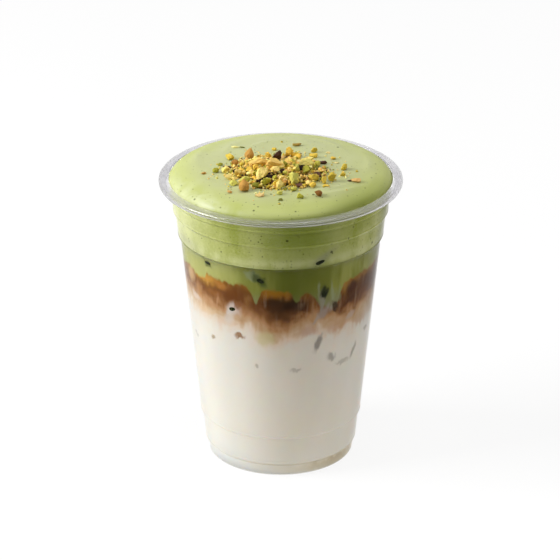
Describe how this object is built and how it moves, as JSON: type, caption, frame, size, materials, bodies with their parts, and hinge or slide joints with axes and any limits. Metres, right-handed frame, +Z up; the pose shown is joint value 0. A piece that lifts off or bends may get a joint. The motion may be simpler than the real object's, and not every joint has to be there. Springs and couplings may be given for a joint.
{
  "type": "pistachio latte",
  "caption": "Iced pistachio latte in a clear plastic cup: layers of milk, espresso and green cream under a domed foam with chopped nuts.",
  "frame": {"origin": "centre of the foot, on the surface that the cup stands on", "axes": "+Z up along the cup's axis, -Y is the front"},
  "size_m": [0.098, 0.098, 0.1321],
  "materials": {
    "clear_plastic": "clear thermoformed sheet",
    "milk": "opaque liquid behind clear plastic",
    "espresso": "liquid with soft wisps",
    "pistachio_cream": "thick cream behind clear plastic",
    "foam": "satin whipped foam",
    "chopped_nuts": "rough cut nut"
  },
  "bodies": {
    "root": {"cup": "clear_plastic", "milk": "milk", "espresso": "espresso", "pistachio_cream": "pistachio_cream", "foam": "foam", "nut_heap": "chopped_nuts"}
  },
  "joints": []
}
